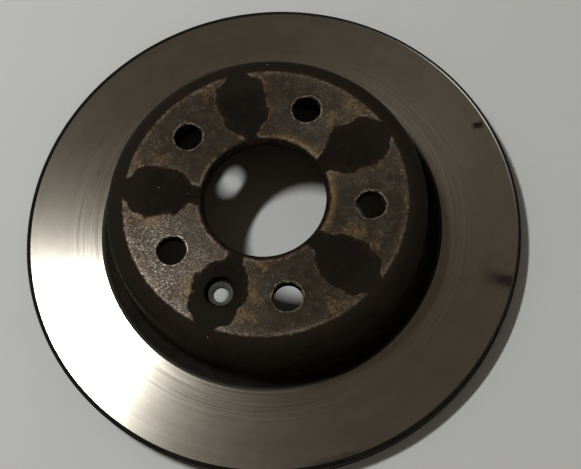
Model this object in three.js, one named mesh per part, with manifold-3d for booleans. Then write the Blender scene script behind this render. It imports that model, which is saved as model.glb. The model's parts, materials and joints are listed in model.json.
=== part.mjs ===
// Solid brake disc for a five-bolt wheel hub, cast and turned as one piece of grey iron.
// A flat friction ring is carried by a deep hat, which the hub's spigot centres and the wheel clamps.
//
// Units are millimetres and +Z is up. The origin is the centre of the inboard friction face, which lies
// at Z = 0, and +Z runs along the disc's axis towards the wheel. One wheel bolt hole is on +X.

import * as THREE from "three";
import { mergeVertices } from "three/addons/utils/BufferGeometryUtils.js";
import Module from "manifold-3d";

// Driving dimensions: the friction ring.
const DISC_RADIUS = 138;
const RING_THICKNESS = 12;
const RIM_CHAMFER = 0.6;
const OUTBOARD_FACE_INNER_RADIUS = 95;
const INBOARD_FACE_INNER_RADIUS = 93;

// The hat that carries the ring.
const OVERALL_HEIGHT = 47.6;
const PLATE_THICKNESS = 7;
const HAT_SHOULDER_RADIUS = 85.4; // where the wall would meet the plate, before the shoulder is rounded
const HAT_FOOT_RADIUS = 86.6; // where the tapered wall would meet the groove floor
const CAVITY_TOP_RADIUS = 77.6;
const CAVITY_MOUTH_RADIUS = 79.4;
const SHOULDER_FILLET = 8.5;
const FOOT_FILLET = 2.5;
const CAVITY_FILLET = 6;

// The turned relief between the hat and each friction face, cut below the face.
const OUTBOARD_GROOVE_DEPTH = 1.6;
const OUTBOARD_GROOVE_FLOOR_RADIUS = 92.5; // where the floor ends and slopes up to the face
const INBOARD_GROOVE_DEPTH = 2;
const INBOARD_GROOVE_INNER_RADIUS = 87;
const FACE_EDGE_CHAMFER = 0.8;

// Holes through the hat plate.
const BORE_RADIUS = 32.5;
const BORE_CHAMFER = 1.5;
const BOLT_COUNT = 5;
const BOLT_CIRCLE_RADIUS = 56;
const BOLT_HOLE_RADIUS = 7.6;
const BOLT_HOLE_CHAMFER = 0.7;
const SCREW_HOLE_RADIUS = 4;
const SCREW_RECESS_RADIUS = 7.9;
const SCREW_RECESS_DEPTH = 3.5;
const SCREW_RECESS_CHAMFER = 0.5;
const SCREW_SEAT_RADIUS = 6.3; // the wide end of the conical seat for the countersunk screw
const SCREW_HOLE_AFTER_BOLT = 3.5; // bolt pitches from the first bolt hole, so halfway between two

// How finely round surfaces are faceted.
const LATHE_SEGMENTS = 120;
const HOLE_SEGMENTS = 32;
const FILLET_STEPS = 4;
const CUT_CLEARANCE = 2; // how far a cutter runs past the face that it opens

const IRON_COLOUR = "#5b534b";

const wasm = await Module();
wasm.setup();

// A Z-axis solid of revolution as a manifold, from [radius, z] points. The outline closes on itself, or
// starts and ends on the axis, and runs anticlockwise when it is seen with Z up and the radius rightwards.
function revolve(outline, segments) {
  const points = outline.map(([radius, z]) => new THREE.Vector2(radius, z));
  const lathe = new THREE.LatheGeometry(points, segments).rotateX(Math.PI / 2);
  lathe.deleteAttribute("normal");
  lathe.deleteAttribute("uv");
  const merged = mergeVertices(lathe, 1e-4);
  return new wasm.Manifold(
    new wasm.Mesh({
      numProp: 3,
      vertProperties: new Float32Array(merged.attributes.position.array),
      triVerts: new Uint32Array(merged.index.array),
    }),
  );
}

// The closed outline through corners of { at: [radius, z], fillet }. A corner with a fillet becomes an arc
// that touches both of its sides.
function filletedOutline(corners) {
  const outline = [];
  corners.forEach(({ at, fillet }, i) => {
    const corner = new THREE.Vector2(...at);
    if (!fillet) {
      outline.push(at);
      return;
    }
    const before = new THREE.Vector2(...corners.at(i - 1).at).sub(corner).normalize();
    const after = new THREE.Vector2(...corners[(i + 1) % corners.length].at).sub(corner).normalize();
    const halfAngle = Math.acos(before.dot(after)) / 2;
    const toCentre = before.clone().add(after).setLength(fillet / Math.sin(halfAngle));
    const centre = corner.clone().add(toCentre);
    const start = corner.clone().addScaledVector(before, fillet / Math.tan(halfAngle)).sub(centre);
    const sweep = (Math.PI - 2 * halfAngle) * Math.sign(after.cross(before));
    for (let step = 0; step <= FILLET_STEPS; step++) {
      const point = start.clone().rotateAround(new THREE.Vector2(), (sweep * step) / FILLET_STEPS);
      outline.push([centre.x + point.x, centre.y + point.y]);
    }
  });
  outline.push(outline[0]);
  return outline;
}

// Half of the disc's cross-section, anticlockwise from the bore's lower edge.
function discOutline() {
  const top = OVERALL_HEIGHT;
  const hubFace = top - PLATE_THICKNESS;
  const ring = RING_THICKNESS;
  const outboardGroove = ring - OUTBOARD_GROOVE_DEPTH;
  const inboardGroove = INBOARD_GROOVE_DEPTH;
  const chamfer = FACE_EDGE_CHAMFER;
  return filletedOutline([
    { at: [BORE_RADIUS, hubFace + BORE_CHAMFER] },
    { at: [BORE_RADIUS + BORE_CHAMFER, hubFace] },
    { at: [CAVITY_TOP_RADIUS, hubFace], fillet: CAVITY_FILLET },
    { at: [CAVITY_MOUTH_RADIUS, chamfer] },
    { at: [CAVITY_MOUTH_RADIUS + chamfer, 0] },
    { at: [INBOARD_GROOVE_INNER_RADIUS, 0] },
    { at: [INBOARD_GROOVE_INNER_RADIUS + inboardGroove / 2, inboardGroove] },
    { at: [INBOARD_FACE_INNER_RADIUS - inboardGroove / 2, inboardGroove] },
    { at: [INBOARD_FACE_INNER_RADIUS, 0] },
    { at: [DISC_RADIUS - RIM_CHAMFER, 0] },
    { at: [DISC_RADIUS, RIM_CHAMFER] },
    { at: [DISC_RADIUS, ring - RIM_CHAMFER] },
    { at: [DISC_RADIUS - RIM_CHAMFER, ring] },
    { at: [OUTBOARD_FACE_INNER_RADIUS, ring] },
    { at: [OUTBOARD_GROOVE_FLOOR_RADIUS, outboardGroove] },
    { at: [HAT_FOOT_RADIUS, outboardGroove], fillet: FOOT_FILLET },
    { at: [HAT_SHOULDER_RADIUS, top], fillet: SHOULDER_FILLET },
    { at: [BORE_RADIUS + BORE_CHAMFER, top] },
    { at: [BORE_RADIUS, top - BORE_CHAMFER] },
  ]);
}

// What a drill takes out of the hat plate, with both mouths of the hole chamfered.
function boltHoleCutter() {
  const top = OVERALL_HEIGHT;
  const hubFace = top - PLATE_THICKNESS;
  const mouth = BOLT_HOLE_RADIUS + BOLT_HOLE_CHAMFER;
  return revolve(
    [
      [0, hubFace - CUT_CLEARANCE],
      [mouth, hubFace - CUT_CLEARANCE],
      [mouth, hubFace],
      [BOLT_HOLE_RADIUS, hubFace + BOLT_HOLE_CHAMFER],
      [BOLT_HOLE_RADIUS, top - BOLT_HOLE_CHAMFER],
      [mouth, top],
      [mouth, top + CUT_CLEARANCE],
      [0, top + CUT_CLEARANCE],
    ],
    HOLE_SEGMENTS,
  );
}

// The plain hole for the disc's retaining screw, whose 90 degree conical seat lies at the bottom of a recess.
function screwHoleCutter() {
  const top = OVERALL_HEIGHT;
  const recessFloor = top - SCREW_RECESS_DEPTH;
  const seatFoot = recessFloor - (SCREW_SEAT_RADIUS - SCREW_HOLE_RADIUS);
  const bottom = top - PLATE_THICKNESS - CUT_CLEARANCE;
  const mouth = SCREW_RECESS_RADIUS + SCREW_RECESS_CHAMFER;
  return revolve(
    [
      [0, bottom],
      [SCREW_HOLE_RADIUS, bottom],
      [SCREW_HOLE_RADIUS, seatFoot],
      [SCREW_SEAT_RADIUS, recessFloor],
      [SCREW_RECESS_RADIUS, recessFloor],
      [SCREW_RECESS_RADIUS, top - SCREW_RECESS_CHAMFER],
      [mouth, top],
      [mouth, top + CUT_CLEARANCE],
      [0, top + CUT_CLEARANCE],
    ],
    HOLE_SEGMENTS,
  );
}

// The cutter moved out to the bolt circle, so many bolt pitches round from the first hole.
function atBoltCircle(cutter, pitches) {
  const angle = (pitches * 2 * Math.PI) / BOLT_COUNT;
  return cutter.translate([
    BOLT_CIRCLE_RADIUS * Math.cos(angle),
    BOLT_CIRCLE_RADIUS * Math.sin(angle),
    0,
  ]);
}

function geometryOf(solid) {
  const { vertProperties, triVerts } = solid.getMesh();
  const geometry = new THREE.BufferGeometry();
  geometry.setAttribute("position", new THREE.BufferAttribute(vertProperties, 3));
  geometry.setIndex(new THREE.BufferAttribute(triVerts, 1));
  const faceted = geometry.toNonIndexed();
  faceted.computeVertexNormals();
  return faceted;
}

function brakeDiscCasting() {
  let casting = revolve(discOutline(), LATHE_SEGMENTS);
  const boltHole = boltHoleCutter();
  for (let i = 0; i < BOLT_COUNT; i++) {
    casting = casting.subtract(atBoltCircle(boltHole, i));
  }
  casting = casting.subtract(atBoltCircle(screwHoleCutter(), SCREW_HOLE_AFTER_BOLT));

  const iron = new THREE.MeshStandardMaterial({
    color: IRON_COLOUR,
    metalness: 0.85,
    roughness: 0.55,
  });
  const mesh = new THREE.Mesh(geometryOf(casting), iron);
  mesh.name = "brake_disc_casting";
  return mesh;
}

const brakeDisc = new THREE.Group();
brakeDisc.add(brakeDiscCasting());

export default brakeDisc;
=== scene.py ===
"""A used solid brake disc on a pale studio floor.

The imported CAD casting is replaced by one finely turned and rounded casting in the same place, with a worn
friction face, the wheel's contact marks on the hat, cast skin, rust and machined holes.
"""

import json
import math

import bpy
from mathutils import Matrix, Vector, noise


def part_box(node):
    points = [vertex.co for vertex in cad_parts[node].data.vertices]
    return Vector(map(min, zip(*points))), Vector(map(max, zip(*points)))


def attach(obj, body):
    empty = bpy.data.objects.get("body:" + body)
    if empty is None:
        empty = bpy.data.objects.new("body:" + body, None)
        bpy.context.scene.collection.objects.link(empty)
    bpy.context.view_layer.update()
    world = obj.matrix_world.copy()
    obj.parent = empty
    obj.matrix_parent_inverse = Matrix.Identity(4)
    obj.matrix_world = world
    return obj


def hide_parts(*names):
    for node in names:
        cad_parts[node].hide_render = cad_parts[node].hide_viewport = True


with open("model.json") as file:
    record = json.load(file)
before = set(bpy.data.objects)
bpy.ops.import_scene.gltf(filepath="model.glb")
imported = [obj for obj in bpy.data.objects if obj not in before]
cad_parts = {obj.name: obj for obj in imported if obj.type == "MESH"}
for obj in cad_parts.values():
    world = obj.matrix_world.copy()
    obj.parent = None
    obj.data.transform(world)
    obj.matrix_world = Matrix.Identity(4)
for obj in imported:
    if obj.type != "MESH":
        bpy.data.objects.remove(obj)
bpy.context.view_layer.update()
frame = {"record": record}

MM = 0.001
NODE = "brake_disc_casting"

# ---------------------------------------------------------------- sizes, in millimetres, from the frame

record = frame["record"]
mount_z = {mount["name"]: mount["pos_m"][2] / MM for mount in record["mounts"]}
openings = {opening["name"]: opening["box_m"] for opening in record["physics"]["openings"]}
disc_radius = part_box(NODE)[1].x / MM
hat_face = mount_z["wheel_face"]
hub_face = mount_z["hub_face"]
outboard_face = mount_z["outboard_friction_face"]


def opening_centre(name):
    """The X and Y of the middle of a stated opening."""
    low, high = openings[name]
    return Vector(((low[0] + high[0]) / 2 / MM, (low[1] + high[1]) / 2 / MM))


bolt_centres = [opening_centre(f"bolt_hole_{i}") for i in range(1, 6)]
screw_centre = opening_centre("retaining_screw_hole")
bolt_circle_radius = bolt_centres[0].length
bolt_pitch = 360 / len(bolt_centres)

# The hat's turned profile.
BORE_RADIUS = 32.5
BORE_CHAMFER = 1.5
CAVITY_TOP_RADIUS = 77.6
CAVITY_MOUTH_RADIUS = 79.4
CAVITY_MOUTH_CHAMFER = 0.8
CAVITY_FILLET = 6.0
HAT_SHOULDER_RADIUS = 85.4
HAT_FOOT_RADIUS = 86.6
SHOULDER_FILLET = 8.5
FOOT_FILLET = 2.5

# The friction ring's turned profile.
OUTBOARD_GROOVE_FLOOR_RADIUS = 92.5
OUTBOARD_GROOVE_DEPTH = 1.6
OUTBOARD_FACE_INNER_RADIUS = 95.0
DULL_FACE_EDGE = 0.25  # radial width of the unpolished inner edge of the outboard face
INBOARD_GROOVE_INNER_RADIUS = 87.0
INBOARD_GROOVE_SLOPE = 1.0  # radial width of each of the groove's sloping sides
INBOARD_GROOVE_DEPTH = 2.0
INBOARD_FACE_INNER_RADIUS = 93.0
RIM_CHAMFER = 0.6
WEAR = 0.3  # how far the pads have worn each face below its unswept edges
WEAR_STEP = 0.7  # radial width of the slope from the worn track to the unswept edge
OUTER_LIP = 1.5  # radial width of the unswept edge at the rim

# The holes through the hat plate.
BOLT_HOLE_RADIUS = 7.6
BOLT_HOLE_CHAMFER = 0.7
SCREW_HOLE_RADIUS = 4.0
SCREW_RECESS_RADIUS = 7.9
SCREW_RECESS_DEPTH = 3.5
SCREW_RECESS_CHAMFER = 0.5
SCREW_SEAT_RADIUS = 6.3  # the wide end of the bare conical seat that the screw's head used to cover
CUT_CLEARANCE = 1.0  # how far a cutter runs past the face that it opens

# How finely round shapes are divided.
SEGMENTS = 360
HOLE_SEGMENTS = 96
ARC_STEP = math.radians(9)
LONGEST_SPAN = 5.0  # between two rings of points on a plain surface
SHARP_EDGE = math.radians(18)  # shading is smooth across anything gentler

# ---------------------------------------------------------------- the casting's shape

# Each span of the profile belongs to a surface, named as in MATERIALS below.

# Surfaces whose rings of points lie closer together, and how close.
PITCH = {"cast_skin": 1.5, "cavity": 1.8, "hat_face": 2.0, "hub_face": 2.4, "rim": 2.5}


def rounded_outline(corners):
    """The closed outline through (radius, z, fillet, surface of the span that follows).

    Returns the points and the surface of the span that follows each of them."""
    points = []
    surfaces = []
    for i, (radius, z, fillet, surface) in enumerate(corners):
        corner = Vector((radius, z))
        before_surface = corners[i - 1][3]
        if not fillet:
            points.append(corner)
            surfaces.append(surface)
            continue
        following = corners[(i + 1) % len(corners)]
        before = (Vector(corners[i - 1][:2]) - corner).normalized()
        after = (Vector(following[:2]) - corner).normalized()
        half_angle = math.acos(before.dot(after)) / 2
        centre = corner + (before + after).normalized() * (fillet / math.sin(half_angle))
        start = corner + before * (fillet / math.tan(half_angle)) - centre
        turn = math.pi - 2 * half_angle
        steps = max(2, round(turn / ARC_STEP))
        sign = 1 if after.x * before.y - after.y * before.x > 0 else -1
        for step in range(steps + 1):
            spin = Matrix.Rotation(sign * turn * step / steps, 2)
            points.append(centre + spin @ start)
            surfaces.append(before_surface if step < steps / 2 else surface)
        surfaces[-1] = surface
    return points, surfaces


def with_rings(points, surfaces):
    """The outline with extra points wherever a span is longer than its surface allows."""
    dense = []
    dense_surfaces = []
    for i, point in enumerate(points):
        following = points[(i + 1) % len(points)]
        surface = surfaces[i]
        length = (following - point).length
        pieces = max(1, math.ceil(length / PITCH.get(surface, LONGEST_SPAN)))
        for piece in range(pieces):
            dense.append(point.lerp(following, piece / pieces))
            dense_surfaces.append(surface)
    return dense, dense_surfaces


def casting_outline():
    """The casting's cross-section, anticlockwise from the bore's lower edge, for rounded_outline."""
    bore_mouth = BORE_RADIUS + BORE_CHAMFER
    cavity_mouth = CAVITY_MOUTH_RADIUS + CAVITY_MOUTH_CHAMFER
    inner_slope_foot = INBOARD_GROOVE_INNER_RADIUS + INBOARD_GROOVE_SLOPE
    outer_slope_foot = INBOARD_FACE_INNER_RADIUS - INBOARD_GROOVE_SLOPE
    rim_inner = disc_radius - RIM_CHAMFER
    lip = disc_radius - OUTER_LIP
    track_outer = lip - WEAR_STEP
    worn_face = outboard_face - WEAR
    groove_floor = outboard_face - OUTBOARD_GROOVE_DEPTH
    return [
        (BORE_RADIUS, hub_face + BORE_CHAMFER, 0.3, "bore_chamfer"),
        (bore_mouth, hub_face, 0.3, "hub_face"),
        (CAVITY_TOP_RADIUS, hub_face, CAVITY_FILLET, "cavity"),
        (CAVITY_MOUTH_RADIUS, CAVITY_MOUTH_CHAMFER, 0.3, "cavity"),
        (cavity_mouth, 0, 0.2, "rusty_edge"),
        (INBOARD_GROOVE_INNER_RADIUS, 0, 0.4, "rusty_edge"),
        (inner_slope_foot, INBOARD_GROOVE_DEPTH, 0.5, "rusty_edge"),
        (outer_slope_foot, INBOARD_GROOVE_DEPTH, 0.5, "rusty_edge"),
        (INBOARD_FACE_INNER_RADIUS, WEAR, 0.2, "friction_face"),
        (track_outer, WEAR, 0.5, "wear_edge"),
        (lip, 0, 0.4, "rusty_edge"),
        (rim_inner, 0, 0.2, "rim"),
        (disc_radius, RIM_CHAMFER, 0.3, "rim"),
        (disc_radius, outboard_face - RIM_CHAMFER, 0.3, "rusty_edge"),
        (rim_inner, outboard_face, 0.2, "rusty_edge"),
        (lip, outboard_face, 0.4, "wear_edge"),
        (track_outer, worn_face, 0.5, "friction_face"),
        (OUTBOARD_FACE_INNER_RADIUS + DULL_FACE_EDGE, worn_face, 0, "groove_side"),
        (OUTBOARD_FACE_INNER_RADIUS, worn_face, 0.12, "groove_side"),
        (OUTBOARD_GROOVE_FLOOR_RADIUS, groove_floor, 0.8, "rusty_edge"),
        (HAT_FOOT_RADIUS, groove_floor, FOOT_FILLET, "cast_skin"),
        (HAT_SHOULDER_RADIUS, hat_face, SHOULDER_FILLET, "hat_face"),
        (bore_mouth, hat_face, 0.4, "bore_chamfer"),
        (BORE_RADIUS, hat_face - BORE_CHAMFER, 0.4, "hole_wall"),
    ]


def lathe(name, points, surfaces, segments, centre=Vector((0, 0)), closed=True):
    """An object made by turning an outline round the vertical line through centre.

    An outline that isn't closed starts and ends on that line."""
    rings = []
    vertices = []
    for point in points:
        on_axis = abs(point.x) < 1e-6
        ring = []
        for k in range(1 if on_axis else segments):
            angle = 2 * math.pi * k / segments
            x = centre.x + point.x * math.cos(angle)
            y = centre.y + point.x * math.sin(angle)
            ring.append(len(vertices))
            vertices.append((x * MM, y * MM, point.y * MM))
        rings.append(ring)
    faces = []
    face_surfaces = []
    spans = len(points) if closed else len(points) - 1
    for i in range(spans):
        ring = rings[i]
        following = rings[(i + 1) % len(points)]
        for k in range(segments):
            corners = [
                ring[k % len(ring)],
                ring[(k + 1) % len(ring)],
                following[(k + 1) % len(following)],
                following[k % len(following)],
            ]
            faces.append(list(dict.fromkeys(corners)))
            face_surfaces.append(SURFACES.index(surfaces[i]))
    mesh = bpy.data.meshes.new(name)
    mesh.from_pydata(vertices, [], faces)
    for surface in SURFACES:
        mesh.materials.append(materials[surface])
    mesh.polygons.foreach_set("material_index", face_surfaces)
    piece = bpy.data.objects.new(name, mesh)
    bpy.context.scene.collection.objects.link(piece)
    return piece


def bolt_hole_cutter(centre):
    """What a drill and a countersink take out of the hat plate."""
    mouth = BOLT_HOLE_RADIUS + BOLT_HOLE_CHAMFER
    bottom = hub_face - CUT_CLEARANCE
    top = hat_face + CUT_CLEARANCE
    corners = [
        (0, bottom, 0, "hole_chamfer"),
        (mouth, bottom, 0, "hole_chamfer"),
        (mouth, hub_face, 0, "hole_chamfer"),
        (BOLT_HOLE_RADIUS, hub_face + BOLT_HOLE_CHAMFER, 0.4, "hole_wall"),
        (BOLT_HOLE_RADIUS, hat_face - BOLT_HOLE_CHAMFER, 0.4, "hole_chamfer"),
        (mouth, hat_face, 0, "hole_chamfer"),
        (mouth, top, 0, "hole_chamfer"),
        (0, top, 0, "hole_chamfer"),
    ]
    points, surfaces = rounded_outline(corners)
    return lathe("bolt_hole_cutter", points, surfaces, HOLE_SEGMENTS, centre, closed=False)


def screw_hole_cutter(centre):
    """The screw hole, its conical seat and the recess round the screw's head."""
    recess_floor = hat_face - SCREW_RECESS_DEPTH
    seat_foot = recess_floor - (SCREW_SEAT_RADIUS - SCREW_HOLE_RADIUS)
    mouth = SCREW_RECESS_RADIUS + SCREW_RECESS_CHAMFER
    bottom = hub_face - CUT_CLEARANCE
    top = hat_face + CUT_CLEARANCE
    corners = [
        (0, bottom, 0, "hole_wall"),
        (SCREW_HOLE_RADIUS, bottom, 0, "hole_wall"),
        (SCREW_HOLE_RADIUS, seat_foot, 0.3, "screw_seat"),
        (SCREW_SEAT_RADIUS, recess_floor, 0.3, "hole_wall"),
        (SCREW_RECESS_RADIUS, recess_floor, 0.5, "hole_wall"),
        (SCREW_RECESS_RADIUS, hat_face - SCREW_RECESS_CHAMFER, 0.3, "hole_wall"),
        (mouth, hat_face, 0, "hole_wall"),
        (mouth, top, 0, "hole_wall"),
        (0, top, 0, "hole_wall"),
    ]
    points, surfaces = rounded_outline(corners)
    return lathe("screw_hole_cutter", points, surfaces, HOLE_SEGMENTS, centre, closed=False)


def cut(piece, cutter):
    """Takes the cutter out of the piece for good."""
    modifier = piece.modifiers.new("cut", "BOOLEAN")
    modifier.operation = "DIFFERENCE"
    modifier.solver = "MANIFOLD"
    modifier.object = cutter
    depsgraph = bpy.context.evaluated_depsgraph_get()
    mesh = bpy.data.meshes.new_from_object(piece.evaluated_get(depsgraph), depsgraph=depsgraph)
    piece.modifiers.clear()
    old = piece.data
    piece.data = mesh
    bpy.data.meshes.remove(old)
    bpy.data.objects.remove(cutter)


# How deep the relief of each uneven surface goes, and how large its lumps are, in millimetres.
RELIEF = {"cast_skin": 0.14, "cavity": 0.3}
COARSE_LUMP = 7.0
FINE_LUMP = 2.3


def add_relief(mesh):
    """Sinks the points of the cast surfaces by an uneven amount, never outwards."""
    depth_of = [RELIEF.get(surface, 0) for surface in SURFACES]
    depths = [max(RELIEF.values())] * len(mesh.vertices)
    for polygon in mesh.polygons:
        depth = depth_of[polygon.material_index]
        for index in polygon.vertices:
            depths[index] = min(depths[index], depth)
    normals = [vertex.normal.copy() for vertex in mesh.vertices]
    for vertex, normal, depth in zip(mesh.vertices, normals, depths):
        if depth == 0:
            continue
        place = vertex.co / MM
        coarse = noise.noise(place / COARSE_LUMP)
        fine = noise.noise(place / FINE_LUMP + Vector((40, 0, 0)))
        sink = depth * min(1, max(0, 0.5 + 0.6 * coarse + 0.45 * fine))
        vertex.co -= normal * sink * MM


def make_casting():
    """The finished casting, as one closed mesh with a material slot for each surface."""
    points, surfaces = with_rings(*rounded_outline(casting_outline()))
    casting = lathe("turned_casting", points, surfaces, SEGMENTS)
    for centre in bolt_centres:
        cut(casting, bolt_hole_cutter(centre))
    cut(casting, screw_hole_cutter(screw_centre))
    mesh = casting.data
    add_relief(mesh)
    mesh.polygons.foreach_set("use_smooth", [True] * len(mesh.polygons))
    mesh.set_sharp_from_angle(angle=SHARP_EDGE)
    weights = casting.modifiers.new("flat_faces_stay_flat", "WEIGHTED_NORMAL")
    weights.keep_sharp = True
    return casting


# ---------------------------------------------------------------- a small kit for shader nodes


class Graph:
    """One material's node tree. Values given to a node are numbers, tuples or other nodes' sockets."""

    def __init__(self, name):
        self.material = bpy.data.materials.new(name)
        self.material.use_nodes = True
        self.tree = self.material.node_tree
        self.tree.nodes.clear()
        coordinates = self.add("TexCoord", output="Object")
        self.place = self.add("VectorMath", {0: coordinates, 1: (1 / MM,) * 3}, operation="MULTIPLY")
        axes = self.tree.nodes.new("ShaderNodeSeparateXYZ")
        self.tree.links.new(self.place, axes.inputs[0])
        self.x, self.y, self.z = axes.outputs
        squares = self.plus(self.times(self.x, self.x), self.times(self.y, self.y))
        self.radius = self.math("SQRT", squares)
        self.azimuth = self.math("DEGREES", self.math("ARCTAN2", self.y, self.x))

    def add(self, kind, values=None, output=0, **settings):
        """A new node's output, with its inputs and settings filled in."""
        node = self.tree.nodes.new("ShaderNode" + kind)
        for key, setting in settings.items():
            setattr(node, key, setting)
        for key, value in (values or {}).items():
            if isinstance(value, bpy.types.NodeSocket):
                self.tree.links.new(value, node.inputs[key])
            else:
                node.inputs[key].default_value = value
        return node.outputs[output]

    def math(self, operation, a, b=0.0, c=0.0):
        return self.add("Math", {0: a, 1: b, 2: c}, operation=operation)

    def plus(self, a, b):
        return self.math("ADD", a, b)

    def minus(self, a, b):
        return self.math("SUBTRACT", a, b)

    def times(self, a, b):
        return self.math("MULTIPLY", a, b)

    def larger(self, a, b):
        return self.math("MAXIMUM", a, b)

    def ramp(self, value, low, high, start=0.0, end=1.0):
        """A smooth step from start, at low, to end, at high."""
        values = {"Value": value, "From Min": low, "From Max": high, "To Min": start, "To Max": end}
        return self.add("MapRange", values, interpolation_type="SMOOTHSTEP")

    def mix(self, factor, a, b):
        """Colour a where the factor is 0 and b where it is 1."""
        return self.add("Mix", {0: factor, 6: a, 7: b}, output=2, data_type="RGBA")

    def blend(self, factor, a, b):
        """Number a where the factor is 0 and b where it is 1."""
        return self.add("Mix", {0: factor, 2: a, 3: b}, data_type="FLOAT")

    def noise(self, size, vector=None, detail=3.0, rough=0.55, warp=0.0):
        """Noise from 0 to 1 whose lumps are about size millimetres across."""
        values = {
            "Vector": vector or self.place,
            "Scale": 1 / size,
            "Detail": detail,
            "Roughness": rough,
            "Distortion": warp,
        }
        return self.add("TexNoise", values)

    def rings(self, across, along, detail=3.0, over=None):
        """Noise drawn out round the axis: along degrees round, and across millimetres over the radius.

        With a socket for over, such as the height, that takes the radius's place."""
        stretch = math.degrees(1) * across / along
        east = self.times(self.math("DIVIDE", self.x, self.radius), stretch)
        north = self.times(self.math("DIVIDE", self.y, self.radius), stretch)
        drawn_out = self.add("CombineXYZ", {0: over or self.radius, 1: east, 2: north})
        return self.noise(across, drawn_out, detail)

    def away_from(self, azimuth):
        """Millimetres round the axis from an azimuth in degrees, never negative."""
        turned = self.math("WRAP", self.minus(self.azimuth, azimuth), 180.0, -180.0)
        return self.times(self.times(self.math("ABSOLUTE", turned), self.radius), math.radians(1))

    def spot(self, azimuth, radius, reach, uneven):
        """A soft spot, 1 in the middle, that ends about reach millimetres from its middle."""
        angle = math.radians(azimuth)
        middle = (radius * math.cos(angle), radius * math.sin(angle), 0)
        flat = self.add("VectorMath", {0: self.place, 1: (1, 1, 0)}, operation="MULTIPLY")
        distance = self.add("VectorMath", {0: flat, 1: middle}, output="Value", operation="DISTANCE")
        return self.ramp(self.plus(distance, uneven), reach, reach * 0.25)

    def spots(self, places, uneven=0.0):
        """All the (azimuth, radius, reach) spots together, with their borders moved by an uneven amount."""
        together = 0.0
        for place in places:
            together = self.larger(together, self.spot(*place, uneven))
        return together

    def bump(self, *layers):
        """A normal from (height in millimetres, height socket from 0 to 1) layers."""
        normal = None
        for height, socket in layers:
            values = {"Strength": 1.0, "Distance": height * MM, "Height": socket}
            if normal is not None:
                values["Normal"] = normal
            normal = self.add("Bump", values)
        return normal

    def finish(self, colour, roughness, normal, metallic=0.0, specular=0.5, brushed=0.0):
        """Ends the tree in a Principled surface and returns the material.

        A brushed surface has grooves round the axis, so it spreads light across them."""
        values = {
            "Base Color": colour,
            "Roughness": roughness,
            "Metallic": metallic,
            "Specular IOR Level": specular,
            "Normal": normal,
        }
        if brushed:
            values["Anisotropic"] = brushed
            values["Anisotropic Rotation"] = 0.25
            values["Tangent"] = self.add("Tangent", direction_type="RADIAL", axis="Z")
        surface = self.add("BsdfPrincipled", values)
        output = self.tree.nodes.new("ShaderNodeOutputMaterial")
        self.tree.links.new(surface, output.inputs["Surface"])
        return self.material


def rgb(red, green, blue):
    return (red, green, blue, 1.0)


# Linear colours that several surfaces share.
DARK_SKIN = rgb(0.0145, 0.0103, 0.0072)
BROWN_SKIN = rgb(0.026, 0.0187, 0.0122)
RUST = rgb(0.060, 0.027, 0.011)
OCHRE = rgb(0.26, 0.175, 0.080)

# ---------------------------------------------------------------- materials


def brushed_iron(g, roughness, light, dark):
    """Iron polished in rings by the pads. Gives its colour, roughness and normal."""
    fine = g.rings(0.8, 36)
    broad = g.rings(9, 160, detail=1)
    colour = g.mix(g.ramp(fine, 0.40, 0.70, 0, 0.5), light, dark)
    colour = g.mix(g.ramp(broad, 0.35, 0.65, 0, 0.4), colour, dark)
    colour = g.mix(g.ramp(g.noise(18, detail=5, rough=0.6), 0.40, 0.62, 0, 0.55), colour, dark)
    scuffed = g.ramp(g.radius, 116, 106, 0.045, 0.15)
    roughness = g.plus(roughness, g.times(g.minus(fine, 0.5), scuffed))
    normal = g.bump((0.0025, fine))
    return colour, roughness, normal


# Marks on the swept face, at these azimuths in degrees: a dark stain and a broader smudge, both near the
# rim, and a stretch of the face's outer edge that damp has darkened.
STAIN_AZIMUTH = 31
SMUDGE_AZIMUTH = 349.3
DAMP_AZIMUTH = 290


def friction_face():
    """The face swept by the pads, with the few marks that it has picked up since."""
    g = Graph("friction_face")
    light, dark = rgb(0.54, 0.52, 0.475), rgb(0.445, 0.426, 0.386)
    colour, roughness, normal = brushed_iron(g, 0.215, light, dark)
    ragged = g.times(g.minus(g.noise(2.4, detail=4, rough=0.65), 0.5), 5.0)

    stain = g.ramp(g.plus(g.away_from(STAIN_AZIMUTH), g.times(ragged, 1.3)), 3.2, 0.9)
    stain = g.times(stain, g.times(g.ramp(g.radius, 126, 130), g.ramp(g.radius, 135.2, 134.2)))
    smudge = g.ramp(g.plus(g.away_from(SMUDGE_AZIMUTH), ragged), 7.0, 0.8)
    smudge = g.times(smudge, g.ramp(g.radius, 115, 131))
    damp_edge = g.ramp(g.plus(g.radius, ragged), 131.8, 134.8)
    damp_edge = g.times(damp_edge, g.ramp(g.away_from(DAMP_AZIMUTH), 26, 8))
    colour = g.mix(g.times(stain, 0.92), colour, rgb(0.035, 0.022, 0.014))
    colour = g.mix(g.times(smudge, 0.9), colour, rgb(0.075, 0.066, 0.066))
    colour = g.mix(g.times(damp_edge, 0.8), colour, rgb(0.12, 0.108, 0.088))
    dull = g.larger(stain, g.larger(smudge, damp_edge))
    roughness = g.plus(roughness, g.times(dull, 0.08))
    return g.finish(colour, roughness, normal, metallic=1.0, brushed=0.57)


def wear_edge():
    """The slope at the edge of the swept track, rubbed in rings like the track itself."""
    g = Graph("wear_edge")
    light, dark = rgb(0.074, 0.075, 0.072), rgb(0.044, 0.043, 0.040)
    colour, roughness, normal = brushed_iron(g, 0.33, light, dark)
    return g.finish(colour, roughness, normal, metallic=0.9, brushed=0.5)


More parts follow.
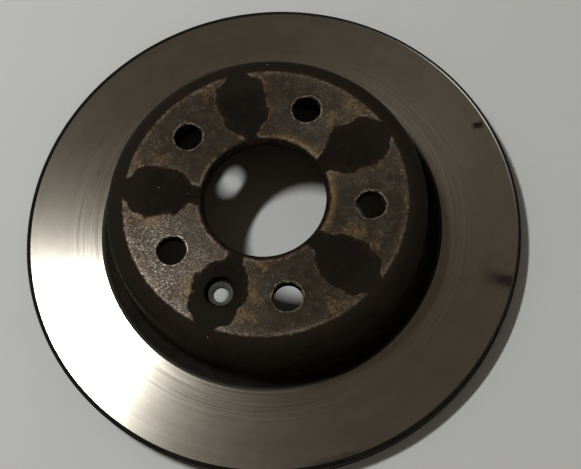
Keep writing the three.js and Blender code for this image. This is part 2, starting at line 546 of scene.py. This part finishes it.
def rusty_skin(name, dark, brown, grain, roughness=0.66, specular=0.16):
    """Iron that nothing rubs: a dark skin with brown blooms and a fine grain."""
    g = Graph(name)
    blooms = g.ramp(g.noise(9, detail=4, warp=0.5), 0.38, 0.68)
    colour = g.mix(blooms, dark, brown)
    rust = g.ramp(g.noise(3.2, detail=5), 0.56, 0.74, 0, 0.25)
    colour = g.mix(rust, colour, RUST)
    fine = g.noise(grain, detail=4, rough=0.65)
    colour = g.mix(g.ramp(fine, 0.52, 0.76, 0, 0.25), colour, rgb(0.075, 0.058, 0.042))
    normal = g.bump((0.10, g.noise(1.6, detail=4)), (0.05, fine))
    gloss = g.ramp(fine, 0.3, 0.7, roughness - 0.08, roughness + 0.1)
    return g.finish(colour, gloss, normal, specular=specular)


def rusty_edge():
    return rusty_skin("rusty_edge", rgb(0.011, 0.009, 0.007), rgb(0.022, 0.018, 0.013), 0.5)


def groove_side():
    """The turned slope from the groove up to the swept face, with painted shade: darkest down in the
    groove, greyer and lighter towards the face.
    """
    g = Graph("groove_side")
    grain = g.noise(0.8, detail=4)
    height = g.plus(g.radius, g.times(g.minus(grain, 0.5), 1.2))
    # Painted shade: the colour is darkest down in the groove and lightens towards the swept face.
    colour = g.mix(g.ramp(height, 92.6, 94.8), rgb(0.034, 0.029, 0.022), rgb(0.125, 0.117, 0.100))
    normal = g.bump((0.06, grain))
    return g.finish(colour, 0.6, normal, metallic=0.2, specular=0.2)


def rim():
    """The rim wall: turned once, now dark with rust in bands round it."""
    g = Graph("rim")
    bands = g.ramp(g.rings(2.2, 9, detail=4, over=g.z), 0.38, 0.66)
    colour = g.mix(bands, rgb(0.011, 0.0095, 0.008), rgb(0.022, 0.0195, 0.0165))
    colour = g.mix(g.ramp(g.noise(2.6, detail=5), 0.54, 0.72, 0, 0.3), colour, RUST)
    turning = g.add("TexNoise", {"Vector": g.add("CombineXYZ", {2: g.z}), "Scale": 2.2, "Detail": 2.0})
    normal = g.bump((0.05, g.noise(0.8, detail=4)), (0.05, turning))
    return g.finish(colour, g.ramp(bands, 0, 1, 0.62, 0.5), normal, metallic=0.1, specular=0.2)


def cast_skin():
    return rusty_skin("cast_skin", DARK_SKIN, BROWN_SKIN, 0.6, roughness=0.6)


def cavity():
    return rusty_skin("cavity", rgb(0.045, 0.028, 0.018), rgb(0.10, 0.055, 0.028), 1.1, roughness=0.78)


POCKET_OFFSET = 0.5  # each pocket of the wheel lies halfway between two bolts
# Half the pocket's width at distances from the axis along the pocket, all in millimetres.
POCKET_SHAPE = (
    (34, 5.3),
    (38, 5.6),
    (41, 8.0),
    (45, 11.6),
    (50, 13.4),
    (58, 13.9),
    (66, 13.7),
    (70, 12.0),
    (73, 7.5),
    (76, 5.5),
)
CONTACT_INNER_RADIUS = 35.0
CONTACT_OUTER_RADIUS = 75.4
# Where golden rust has bloomed on the contact marks: azimuth, radius and reach.
GOLDEN_BLOOMS = (
    (342, 51, 8),
    (339, 62, 6),
    (25, 40, 5),
    (53, 70, 9),
    (57, 56, 6),
    (98, 72, 6),
    (122, 72, 8),
    (170, 71, 6),
    (165, 60, 7),
    (196, 61, 8),
    (236, 60, 6),
    (267, 53, 8),
    (267, 65, 7),
    (307, 70, 8),
    (272, 37, 5),
)
# The golden stretch of the bore's edge: its middle azimuth, and its reach to each side in millimetres.
GOLDEN_BORE_EDGE = (28, 35)
# Pale specks on the hat: azimuth, radius and reach.
DUST = ((95, 80, 0.6), (255, 80, 0.5), (286, 76, 0.6), (178, 57, 0.5), (181, 41, 0.45), (128, 64, 0.5))


def pocket_half_width(g, along):
    """Half the pocket's width at each distance along it, as a socket."""
    low, high = POCKET_SHAPE[0][0], POCKET_SHAPE[-1][0]
    widest = 20  # the width at the top of the curve, whose values run from 0 to 1
    node = g.tree.nodes.new("ShaderNodeFloatCurve")
    travel = g.add("MapRange", {"Value": along, "From Min": low, "From Max": high})
    g.tree.links.new(travel, node.inputs["Value"])
    curve = node.mapping.curves[0]
    for place, half_width in POCKET_SHAPE[1:-1]:
        curve.points.new((place - low) / (high - low), half_width / widest)
    curve.points[0].location = (0, POCKET_SHAPE[0][1] / widest)
    curve.points[-1].location = (1, POCKET_SHAPE[-1][1] / widest)
    node.mapping.update()
    return g.times(node.outputs[0], widest)


def contact_margin(g):
    """How far inside a contact mark each point lies, in millimetres, with an uneven border."""
    folded = g.math("WRAP", g.azimuth, bolt_pitch, 0.0)
    turned = g.math("RADIANS", g.minus(folded, bolt_pitch * POCKET_OFFSET))
    along = g.times(g.radius, g.math("COSINE", turned))
    across = g.times(g.radius, g.math("ABSOLUTE", g.math("SINE", turned)))
    wobble = g.times(g.minus(g.noise(10, detail=2), 0.5), g.ramp(g.radius, 72, 62, 2.0, 10.0))
    ragged = g.times(g.minus(g.noise(1.8, detail=4, rough=0.65), 0.5), 2.6)
    beside = g.plus(g.minus(across, pocket_half_width(g, along)), wobble)
    inside = g.minus(g.radius, CONTACT_INNER_RADIUS)
    outside = g.minus(CONTACT_OUTER_RADIUS, g.radius)
    turned_edges = g.plus(g.math("MINIMUM", inside, outside), g.times(wobble, 0.12))
    return g.plus(g.math("MINIMUM", beside, turned_edges), g.times(ragged, 0.8))


def bolt_hole_distance(g):
    """Millimetres from the edge of the nearest bolt hole."""
    half = bolt_pitch / 2
    folded = g.math("RADIANS", g.math("WRAP", g.azimuth, half, -half))
    along = g.minus(g.times(g.radius, g.math("COSINE", folded)), bolt_circle_radius)
    across = g.times(g.radius, g.math("SINE", folded))
    distance = g.math("SQRT", g.plus(g.times(along, along), g.times(across, across)))
    return g.minus(distance, BOLT_HOLE_RADIUS + BOLT_HOLE_CHAMFER)


def rubbed_iron(g, margin, grain):
    """The contact marks' colour: grey grains on brown, browner towards the bore and the marks' borders."""
    grainy = g.ramp(g.noise(11, detail=3), 0.40, 0.62, 0.30, 0.80)
    mottle = g.noise(5.5, detail=4, rough=0.6)
    colour = g.mix(g.ramp(mottle, 0.35, 0.65), rgb(0.049, 0.035, 0.024), rgb(0.079, 0.065, 0.051))
    colour = g.mix(g.times(g.ramp(grain, 0.49, 0.63), grainy), colour, rgb(0.18, 0.166, 0.148))
    colour = g.mix(g.times(g.ramp(grain, 0.46, 0.34), grainy), colour, rgb(0.018, 0.012, 0.009))
    colour = g.mix(g.ramp(g.radius, 54, 37, 0, 0.35), colour, rgb(0.040, 0.028, 0.019))
    patches = g.ramp(g.noise(4.5, detail=4, rough=0.6), 0.42, 0.58)
    browned = g.times(g.ramp(margin, 8.0, 1.0), patches)
    colour = g.mix(g.times(browned, 0.6), colour, rgb(0.085, 0.050, 0.026))
    flecks = g.times(g.ramp(g.noise(1.1, detail=2), 0.66, 0.74), grainy)
    return g.mix(g.times(flecks, 0.8), colour, rgb(0.40, 0.39, 0.37))


def golden_rust(g, margin, grain, speckle):
    """How much golden rust lies on the marks: in blooms, along some borders and round part of the bore."""
    drift = g.times(g.minus(g.noise(6, detail=4, rough=0.65), 0.5), 26.0)
    blooms = g.times(g.spots(GOLDEN_BLOOMS, drift), g.ramp(speckle, 0.38, 0.60))
    edging = g.times(g.ramp(margin, 4.0, 0.8), g.ramp(g.noise(8, detail=3), 0.50, 0.66))
    edging = g.times(edging, g.ramp(speckle, 0.42, 0.62))
    middle, reach = GOLDEN_BORE_EDGE
    gilded = g.ramp(g.away_from(middle), reach * 1.24, reach)
    ragged_radius = g.plus(g.radius, g.times(g.minus(speckle, 0.5), 6))
    gilded = g.times(gilded, g.ramp(ragged_radius, 39.5, 36.0))
    gilded = g.times(gilded, g.ramp(grain, 0.42, 0.58, 0.2, 1.0))
    return g.larger(g.times(blooms, 0.75), g.larger(g.times(edging, 0.6), gilded))


def worn_borders(g, margin, speckle, colour):
    """The colour with pale wear along the marks' outer border, and in places along their other borders."""
    pale = g.times(g.ramp(g.radius, 71, 74.5), g.ramp(speckle, 0.42, 0.60))
    colour = g.mix(g.times(pale, 0.5), colour, rgb(0.21, 0.18, 0.145))
    turned = g.larger(g.ramp(g.radius, 64, 72, 0.25), g.ramp(g.radius, 45, 38, 0.25))
    worn = g.times(g.ramp(margin, 1.9, 0.7), g.ramp(g.noise(5, detail=4), 0.44, 0.60))
    worn = g.times(worn, g.times(turned, g.ramp(speckle, 0.35, 0.55, 0.4)))
    return g.mix(g.times(worn, 0.7), colour, rgb(0.27, 0.235, 0.185))


def pocket_skin(g, margin, scale):
    """The colour in the wheel's pockets: dark, lighter towards the shoulder, reddened at the borders."""
    shade = g.larger(g.ramp(g.noise(9, detail=3), 0.35, 0.7, 0, 0.7), g.ramp(g.radius, 57, 68))
    colour = g.mix(shade, rgb(0.0155, 0.0125, 0.0102), rgb(0.0265, 0.0213, 0.0165))
    colour = g.mix(g.ramp(scale, 0.52, 0.76, 0, 0.35), colour, rgb(0.045, 0.034, 0.025))
    reddened = g.times(g.ramp(margin, -5.5, -0.8), g.ramp(g.noise(6, detail=4), 0.38, 0.60))
    return g.mix(g.times(reddened, 0.6), colour, rgb(0.046, 0.026, 0.014))


def hat_face_material():
    """The wheel side of the hat: rubbed where the wheel clamps it, dark where the wheel has pockets."""
    g = Graph("hat_face")
    margin = contact_margin(g)
    contact = g.ramp(margin, -0.8, 0.8)
    grain = g.noise(0.8, detail=3, rough=0.7)
    speckle = g.noise(1.3, detail=4, rough=0.7)
    scale = g.noise(2.6, detail=5, rough=0.6)

    golden = golden_rust(g, margin, grain, speckle)
    from_hole = g.plus(bolt_hole_distance(g), g.times(g.minus(speckle, 0.5), 1.4))
    halo = g.times(g.ramp(from_hole, 2.6, 0.8), g.ramp(g.noise(3, detail=4), 0.40, 0.62))
    burnished = g.times(g.ramp(from_hole, 0.7, 0.3), g.ramp(g.noise(2.2, detail=3), 0.47, 0.57))
    rubbed = g.mix(golden, rubbed_iron(g, margin, grain), OCHRE)
    rubbed = g.mix(g.times(halo, 0.7), rubbed, rgb(0.055, 0.027, 0.013))
    rubbed = g.mix(burnished, rubbed, rgb(0.30, 0.28, 0.245))
    rubbed = worn_borders(g, margin, speckle, rubbed)
    colour = g.mix(contact, pocket_skin(g, margin, scale), rubbed)
    colour = g.mix(g.spots(DUST), colour, rgb(0.24, 0.235, 0.22))

    bare = g.times(g.ramp(grain, 0.42, 0.62, 0.15, 0.75), g.ramp(golden, 0.1, 0.6, 1.0, 0.3))
    bare = g.times(bare, g.ramp(g.radius, 38, 54, 0.6, 1.0))
    metallic = g.times(contact, g.larger(bare, g.times(burnished, 0.9)))
    roughness = g.blend(contact, 0.72, g.ramp(grain, 0.35, 0.65, 0.46, 0.32))
    normal = g.bump((0.03, contact), (0.05, grain), (0.05, scale))
    specular = g.blend(contact, 0.12, 0.3)
    brushed = g.times(contact, 0.5)
    return g.finish(colour, roughness, normal, metallic=metallic, specular=specular, brushed=brushed)


def hub_face_material():
    """The side that the hub clamps: turned rings under brown blooms."""
    g = Graph("hub_face")
    rings = g.rings(0.8, 60)
    blooms = g.ramp(g.noise(12, detail=5, warp=0.6), 0.4, 0.62)
    colour = g.mix(blooms, rgb(0.17, 0.155, 0.13), rgb(0.075, 0.05, 0.03))
    colour = g.mix(g.ramp(g.noise(2.6, detail=5), 0.52, 0.7, 0, 0.7), colour, RUST)
    colour = g.mix(g.ramp(rings, 0.5, 0.75, 0, 0.3), colour, rgb(0.20, 0.185, 0.16))
    normal = g.bump((0.03, rings), (0.06, g.noise(0.9, detail=4)))
    roughness = g.ramp(blooms, 0, 1, 0.42, 0.68)
    metallic = g.ramp(blooms, 0, 1, 0.7, 0.25)
    return g.finish(colour, roughness, normal, metallic=metallic)


def bore_chamfer():
    dark, brown = rgb(0.012, 0.008, 0.006), rgb(0.034, 0.021, 0.012)
    return rusty_skin("bore_chamfer", dark, brown, 0.5, roughness=0.7)


def hole_wall():
    dark, brown = rgb(0.012, 0.009, 0.007), rgb(0.030, 0.019, 0.011)
    return rusty_skin("hole_wall", dark, brown, 0.5, roughness=0.7)


def hole_chamfer():
    """Bare, dulled metal on the edges of the holes."""
    g = Graph("hole_chamfer")
    patches = g.noise(2.2, detail=4)
    colour = g.mix(g.ramp(patches, 0.44, 0.53), rgb(0.38, 0.345, 0.28), rgb(0.060, 0.036, 0.020))
    normal = g.bump((0.03, g.noise(0.6)))
    return g.finish(colour, 0.42, normal, metallic=0.35)


def screw_seat():
    """The ring of bare metal under the missing screw's head."""
    g = Graph("screw_seat")
    grain = g.noise(0.9, detail=4)
    colour = g.mix(g.ramp(grain, 0.35, 0.65), rgb(0.32, 0.32, 0.31), rgb(0.18, 0.176, 0.166))
    normal = g.bump((0.03, grain))
    return g.finish(colour, 0.36, normal, metallic=0.4)


MATERIALS = {
    "friction_face": friction_face,
    "wear_edge": wear_edge,
    "rusty_edge": rusty_edge,
    "groove_side": groove_side,
    "rim": rim,
    "cast_skin": cast_skin,
    "cavity": cavity,
    "hat_face": hat_face_material,
    "hub_face": hub_face_material,
    "bore_chamfer": bore_chamfer,
    "hole_wall": hole_wall,
    "hole_chamfer": hole_chamfer,
    "screw_seat": screw_seat,
}
SURFACES = tuple(MATERIALS)

# ---------------------------------------------------------------- the studio

# Places in metres and angles in degrees.
FLOOR_REACH = 5.0
FLOOR_SIDES = 128
KEY_PLACE = (-0.679, 0.200, 1.543)
KEY_ROLL = -22
CAMERA_PLACE = (0.0654, -0.2022, 0.5306)
CAMERA_TARGET = (0.0120, -0.0064, 0.0120)
CAMERA_ROLL = 5.85


def make_floor():
    """A plain, pale, round floor that the disc lies on."""
    angles = [2 * math.pi * k / FLOOR_SIDES for k in range(FLOOR_SIDES)]
    corners = [(FLOOR_REACH * math.cos(angle), FLOOR_REACH * math.sin(angle), 0) for angle in angles]
    mesh = bpy.data.meshes.new("studio_floor")
    mesh.from_pydata(corners, [], [range(FLOOR_SIDES)])
    g = Graph("studio_floor")
    colour = g.mix(g.noise(60, detail=2), rgb(0.79, 0.825, 0.85), rgb(0.83, 0.865, 0.89))
    mesh.materials.append(g.finish(colour, 0.7, g.bump((0.05, g.noise(3)))))
    floor = bpy.data.objects.new("studio_floor", mesh)
    bpy.context.scene.collection.objects.link(floor)


def aim(thing, place, target, roll):
    """Puts a camera or light at place, looking at target, turned by roll degrees about its own view."""
    forward = (Vector(target) - Vector(place)).normalized()
    right = forward.cross(Vector((0, 1, 0))).normalized()
    up = right.cross(forward)
    facing = Matrix((right, up, -forward)).transposed().to_4x4()
    thing.matrix_world = Matrix.Translation(place) @ facing @ Matrix.Rotation(math.radians(roll), 4, "Z")


def make_key_light():
    """The one lamp: a soft strip, high at the left, that the swept face spreads into a bright wedge."""
    data = bpy.data.lights.new("key", "AREA")
    data.shape = "RECTANGLE"
    data.size = 0.09
    data.size_y = 0.33
    data.energy = 11.0
    data.color = (1.0, 0.985, 0.94)
    lamp = bpy.data.objects.new("key", data)
    bpy.context.scene.collection.objects.link(lamp)
    aim(lamp, KEY_PLACE, (0, 0, 0), KEY_ROLL)


def make_camera():
    """The photograph's view: from above the near edge, a little to the right."""
    data = bpy.data.cameras.new("camera")
    data.sensor_width = 36
    data.lens = 62.21
    data.clip_end = 20
    camera = bpy.data.objects.new("camera", data)
    bpy.context.scene.collection.objects.link(camera)
    aim(camera, CAMERA_PLACE, CAMERA_TARGET, CAMERA_ROLL)
    bpy.context.scene.camera = camera


def make_world():
    """The room's light: a dim warm ceiling, lightest at the back, over pale walls."""
    world = bpy.data.worlds.new("room")
    world.use_nodes = True
    nodes = world.node_tree.nodes
    link = world.node_tree.links.new

    def ramp(value, low, high, start, end):
        step = nodes.new("ShaderNodeMapRange")
        step.interpolation_type = "SMOOTHSTEP"
        for name, number in {"From Min": low, "From Max": high, "To Min": start, "To Max": end}.items():
            step.inputs[name].default_value = number
        link(value, step.inputs["Value"])
        return step.outputs[0]

    direction = nodes.new("ShaderNodeTexCoord").outputs["Generated"]
    towards = nodes.new("ShaderNodeVectorMath")
    towards.operation = "DOT_PRODUCT"
    towards.inputs[1].default_value = Vector((0.3, 0.5, 0.8)).normalized()
    link(direction, towards.inputs[0])
    axes = nodes.new("ShaderNodeSeparateXYZ")
    link(direction, axes.inputs[0])

    ceiling = nodes.new("ShaderNodeBackground")
    ceiling.inputs["Color"].default_value = rgb(1.0, 0.80, 0.60)
    link(ramp(towards.outputs["Value"], -0.3, 0.8, 0.010, 0.090), ceiling.inputs["Strength"])
    walls = nodes.new("ShaderNodeBackground")
    walls.inputs["Color"].default_value = rgb(1.0, 0.97, 0.92)
    walls.inputs["Strength"].default_value = 0.40
    room = nodes.new("ShaderNodeMixShader")
    link(ramp(axes.outputs["Z"], 0.58, 0.20, 0.0, 1.0), room.inputs["Fac"])
    link(ceiling.outputs[0], room.inputs[1])
    link(walls.outputs[0], room.inputs[2])
    link(room.outputs[0], nodes["World Output"].inputs["Surface"])
    bpy.context.scene.world = world


make_floor()
make_camera()
make_world()
make_key_light()
bpy.context.scene.view_settings.view_transform = "Standard"
bpy.context.scene.view_settings.look = "Medium High Contrast"

materials = {surface: make() for surface, make in MATERIALS.items()}
casting = make_casting()
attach(casting, "root")
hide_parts(NODE)
